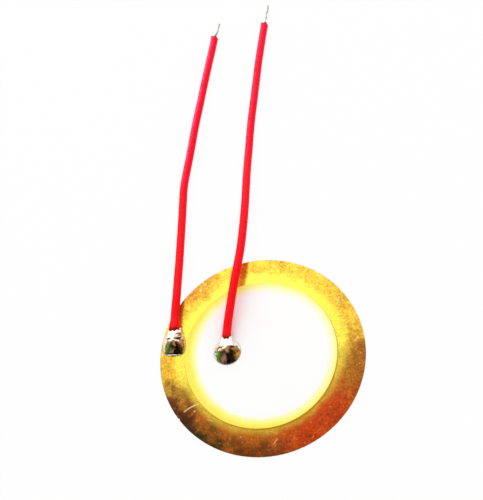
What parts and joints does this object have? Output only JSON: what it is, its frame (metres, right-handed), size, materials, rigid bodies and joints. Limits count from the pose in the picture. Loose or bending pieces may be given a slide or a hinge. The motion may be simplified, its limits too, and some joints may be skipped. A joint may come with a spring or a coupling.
{
  "type": "piezo disc",
  "caption": "Flat brass diaphragm with a bonded, silvered ceramic disc and two soldered red stranded leads with bare ends, lying on its brass face.",
  "frame": {"origin": "middle of the brass plate's underside, which lies on the surface", "axes": "+Z out of the ceramic side, +Y the way the two leads run away from their joints, +X to the right of the leads"},
  "size_m": [0.027, 0.0718, 0.0027],
  "materials": {
    "brass": "rolled sheet, lightly tarnished",
    "epoxy": "clear amber, squeezed out",
    "ceramic": "fired ceramic, satin",
    "silver": "fired silver print, satin white",
    "solder": "bright, mirror-like",
    "red_pvc": "extruded, semi-gloss",
    "tinned_copper": "drawn and tinned"
  },
  "bodies": {
    "root": {"brass_plate": "brass", "bond_layer": "epoxy", "lower_electrode": "silver", "ceramic_disc": "ceramic", "upper_electrode": "silver", "rim_solder": "solder", "centre_solder": "solder", "rim_lead_insulation": "red_pvc", "centre_lead_insulation": "red_pvc", "rim_lead_strand_1": "tinned_copper", "rim_lead_strand_2": "tinned_copper", "rim_lead_strand_3": "tinned_copper", "rim_lead_strand_4": "tinned_copper", "rim_lead_strand_5": "tinned_copper", "rim_lead_strand_6": "tinned_copper", "rim_lead_strand_7": "tinned_copper", "centre_lead_strand_1": "tinned_copper", "centre_lead_strand_2": "tinned_copper", "centre_lead_strand_3": "tinned_copper", "centre_lead_strand_4": "tinned_copper", "centre_lead_strand_5": "tinned_copper", "centre_lead_strand_6": "tinned_copper", "centre_lead_strand_7": "tinned_copper"}
  },
  "joints": []
}
